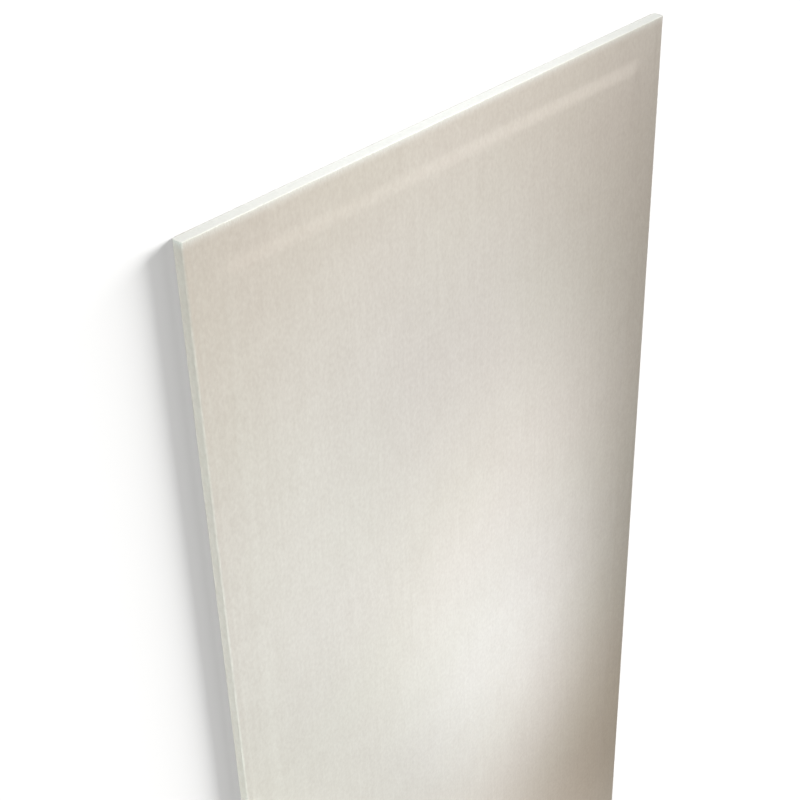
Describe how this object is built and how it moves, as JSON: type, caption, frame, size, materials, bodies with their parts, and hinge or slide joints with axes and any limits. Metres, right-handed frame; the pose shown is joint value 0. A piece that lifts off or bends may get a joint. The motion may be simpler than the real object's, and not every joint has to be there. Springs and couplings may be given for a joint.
{
  "type": "drywall sheet",
  "caption": "Flat gypsum plasterboard sheet with sunken tapered edges, ivory face paper, grey back paper and bare cut ends, for lining walls and ceilings.",
  "frame": {"origin": "middle of the underside, on the level that the sheet lies on", "axes": "+X across the width, +Y along the length, +Z out of the ivory face"},
  "size_m": [0.6, 2.6, 0.0125],
  "materials": {
    "gypsum": "matte",
    "face_paper": "matte",
    "back_paper": "matte"
  },
  "bodies": {
    "root": {"gypsum_core": "gypsum", "face_paper": "face_paper", "back_paper": "back_paper"}
  },
  "joints": []
}
